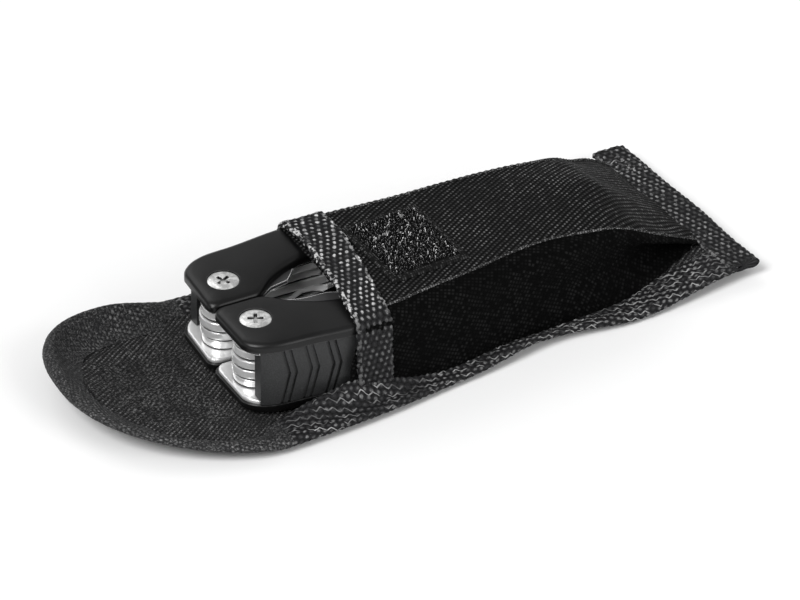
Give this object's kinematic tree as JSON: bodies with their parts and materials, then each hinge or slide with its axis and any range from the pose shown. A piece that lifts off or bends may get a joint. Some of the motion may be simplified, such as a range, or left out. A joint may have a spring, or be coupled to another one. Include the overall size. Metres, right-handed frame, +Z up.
{
  "type": "folding pliers multi-tool in a belt pouch",
  "caption": "Butterfly pocket pliers with folding implements, half drawn out of an open black belt pouch with a folding flap and hook patch.",
  "frame": {"origin": "centre of the whole object's footprint, on the surface it lies on", "axes": "+X along the tool from the flap towards the bottom of the pouch, +Y across it towards handle A, +Z up"},
  "size_m": [0.2084, 0.086, 0.0305],
  "materials": {
    "black_anodised_plate": "satin black anodised, soft bevel",
    "moulded_grip": "dark charcoal moulded nylon, fine grain",
    "polished_steel": "bright polished stainless steel",
    "screw_steel": "bright nickel-plated screws with a cross recess",
    "spring_steel": "blued spring steel",
    "jaw_steel": "satin forged steel",
    "pouch_cloth": "black ballistic nylon, diagonal rib",
    "binding_tape": "black polypropylene webbing, coarse weave with light flecks",
    "hook_tape": "black hook fastener tape with glossy hooks",
    "loop_tape": "black loop pile"
  },
  "bodies": {
    "pouch": {"back_panel": "pouch_cloth", "front_panel": "pouch_cloth", "near_gusset": "pouch_cloth", "far_gusset": "pouch_cloth", "near_edge_binding": "binding_tape", "far_edge_binding": "binding_tape", "bottom_binding": "binding_tape", "mouth_binding": "binding_tape", "hook_patch": "hook_tape", "belt_loop": "binding_tape"},
    "flap_riser": {"flap_riser_panel": "pouch_cloth", "flap_riser_binding": "binding_tape", "loop_patch": "loop_tape"},
    "flap_tip": {"flap_tip_panel": "pouch_cloth", "flap_tip_binding": "binding_tape"},
    "jaw_a": {"jaw_a": "jaw_steel", "jaw_bolt": "jaw_steel"},
    "jaw_b": {"jaw_b": "jaw_steel"},
    "handle_a": {"outer_scale_a": "black_anodised_plate", "inner_scale_a": "black_anodised_plate", "outer_liner_a": "polished_steel", "inner_liner_a": "polished_steel", "grip_a": "moulded_grip", "leaf_spring_a": "spring_steel", "implement_screw_a": "screw_steel", "implement_barrel_a": "screw_steel", "head_screw_a": "screw_steel", "head_barrel_a": "screw_steel", "implement_washers_a": "polished_steel"},
    "handle_b": {"outer_scale_b": "black_anodised_plate", "inner_scale_b": "black_anodised_plate", "outer_liner_b": "polished_steel", "inner_liner_b": "polished_steel", "grip_b": "moulded_grip", "leaf_spring_b": "spring_steel", "implement_screw_b": "screw_steel", "implement_barrel_b": "screw_steel", "head_screw_b": "screw_steel", "head_barrel_b": "screw_steel", "implement_washers_b": "polished_steel"},
    "small_screwdriver": {"small_screwdriver": "polished_steel"},
    "can_opener": {"can_opener": "polished_steel"},
    "large_screwdriver": {"large_screwdriver": "polished_steel"},
    "cross_screwdriver": {"cross_screwdriver": "polished_steel"},
    "knife_blade": {"knife_blade": "polished_steel"},
    "medium_screwdriver": {"medium_screwdriver": "polished_steel"},
    "awl": {"awl": "polished_steel"},
    "bottle_opener": {"bottle_opener": "polished_steel"},
    "file": {"file": "polished_steel"},
    "saw_blade": {"saw_blade": "polished_steel"}
  },
  "joints": [
    {"name": "tool_slide", "type": "slide", "parent": "pouch", "child": "jaw_a", "axis": [-1, 0, 0], "range_m": [-0.01, 0.076], "deforming": ["flap_riser_panel", "flap_riser_binding", "loop_patch", "flap_tip_panel", "flap_tip_binding"]},
    {"name": "handles_unfold", "type": "hinge", "parent": "jaw_a", "child": "handle_a", "pos_m": [0.03749, 0.00896, 0.0156], "axis": [0, 0, -1], "range_deg": [0, 170], "deforming": ["front_panel", "near_gusset", "far_gusset", "mouth_binding", "hook_patch"]},
    {"name": "jaws_open", "type": "hinge", "parent": "jaw_a", "child": "jaw_b", "pos_m": [0.02379, -0.00154, 0.0156], "axis": [0, 0, -1], "range_deg": [0, 20]},
    {"name": "handle_b_unfold", "type": "hinge", "parent": "jaw_b", "child": "handle_b", "pos_m": [0.03749, -0.01204, 0.0156], "axis": [0, 0, 1], "range_deg": [0, 170]},
    {"name": "flap_fold", "type": "hinge", "parent": "pouch", "child": "flap_riser", "pos_m": [-0.06121, -0.00154, 0.0032], "axis": [0, -1, 0], "range_deg": [-90, 0]},
    {"name": "flap_tip_fold", "type": "hinge", "parent": "flap_riser", "child": "flap_tip", "pos_m": [-0.09071, -0.00154, 0.0032], "axis": [0, -1, 0], "range_deg": [-90, 0]},
    {"name": "small_screwdriver_open", "type": "hinge", "parent": "handle_a", "child": "small_screwdriver", "pos_m": [-0.05021, 0.00896, 0.0156], "axis": [0, 0, -1], "range_deg": [0, 180]},
    {"name": "can_opener_open", "type": "hinge", "parent": "handle_a", "child": "can_opener", "pos_m": [-0.05021, 0.00896, 0.0156], "axis": [0, 0, -1], "range_deg": [0, 180]},
    {"name": "large_screwdriver_open", "type": "hinge", "parent": "handle_a", "child": "large_screwdriver", "pos_m": [-0.05021, 0.00896, 0.0156], "axis": [0, 0, -1], "range_deg": [0, 180]},
    {"name": "cross_screwdriver_open", "type": "hinge", "parent": "handle_a", "child": "cross_screwdriver", "pos_m": [-0.05021, 0.00896, 0.0156], "axis": [0, 0, -1], "range_deg": [0, 180]},
    {"name": "knife_blade_open", "type": "hinge", "parent": "handle_a", "child": "knife_blade", "pos_m": [-0.05021, 0.00896, 0.0156], "axis": [0, 0, -1], "range_deg": [0, 180]},
    {"name": "medium_screwdriver_open", "type": "hinge", "parent": "handle_b", "child": "medium_screwdriver", "pos_m": [-0.05021, -0.01204, 0.0156], "axis": [0, 0, 1], "range_deg": [0, 180]},
    {"name": "awl_open", "type": "hinge", "parent": "handle_b", "child": "awl", "pos_m": [-0.05021, -0.01204, 0.0156], "axis": [0, 0, 1], "range_deg": [0, 180]},
    {"name": "bottle_opener_open", "type": "hinge", "parent": "handle_b", "child": "bottle_opener", "pos_m": [-0.05021, -0.01204, 0.0156], "axis": [0, 0, 1], "range_deg": [0, 180]},
    {"name": "file_open", "type": "hinge", "parent": "handle_b", "child": "file", "pos_m": [-0.05021, -0.01204, 0.0156], "axis": [0, 0, 1], "range_deg": [0, 180]},
    {"name": "saw_blade_open", "type": "hinge", "parent": "handle_b", "child": "saw_blade", "pos_m": [-0.05021, -0.01204, 0.0156], "axis": [0, 0, 1], "range_deg": [0, 180]}
  ],
  "couplings": [
    {"joint": "jaws_open", "follows": "handles_unfold", "ratio": 0.11765},
    {"joint": "handle_b_unfold", "follows": "handles_unfold", "ratio": 1},
    {"joint": "small_screwdriver_open", "follows": "handles_unfold", "ratio": 0.70588},
    {"joint": "can_opener_open", "follows": "handles_unfold", "ratio": 0.79412},
    {"joint": "large_screwdriver_open", "follows": "handles_unfold", "ratio": 0.88235},
    {"joint": "cross_screwdriver_open", "follows": "handles_unfold", "ratio": 0.97059},
    {"joint": "knife_blade_open", "follows": "handles_unfold", "ratio": 1.0588},
    {"joint": "medium_screwdriver_open", "follows": "handles_unfold", "ratio": 0.70588},
    {"joint": "awl_open", "follows": "handles_unfold", "ratio": 0.79412},
    {"joint": "bottle_opener_open", "follows": "handles_unfold", "ratio": 0.88235},
    {"joint": "file_open", "follows": "handles_unfold", "ratio": 0.97059},
    {"joint": "saw_blade_open", "follows": "handles_unfold", "ratio": 1.0588}
  ]
}
